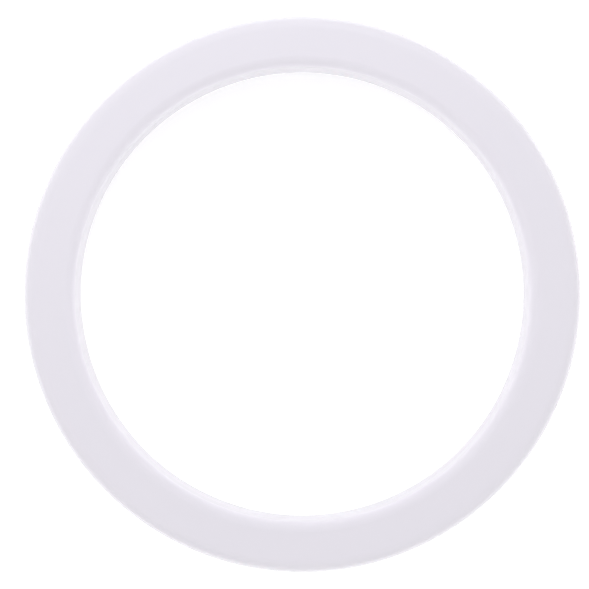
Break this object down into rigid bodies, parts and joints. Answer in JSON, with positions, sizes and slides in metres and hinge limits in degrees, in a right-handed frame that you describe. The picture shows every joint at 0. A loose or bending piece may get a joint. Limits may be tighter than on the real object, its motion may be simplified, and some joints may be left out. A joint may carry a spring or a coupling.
{
  "type": "rhythmic hoop",
  "caption": "Plain white hoop with a thick, soft-edged moulded body: two lapped ring shells screwed together around a bent, cushioned core tube.",
  "frame": {"origin": "centre of the hoop in the plane of its rear rest face", "axes": "+Z is the hoop's axis, from the rest face to the front face; +Y is up as the front face is looked at, and the tube's joint is on the -Y side"},
  "size_m": [0.3799, 0.38, 0.028],
  "materials": {
    "shell_plastic": "satin",
    "tube_plastic": "matte",
    "plug_plastic": "matte",
    "pin_steel": "satin",
    "cushion_rubber": "matte",
    "screw_steel": "satin",
    "cap_plastic": "satin"
  },
  "bodies": {
    "root": {"front_shell": "shell_plastic", "rear_shell": "shell_plastic", "core_tube": "tube_plastic", "joint_plug": "plug_plastic", "joint_pins": "pin_steel", "core_cushions": "cushion_rubber", "shell_screws": "screw_steel", "screw_caps": "cap_plastic"}
  },
  "joints": []
}
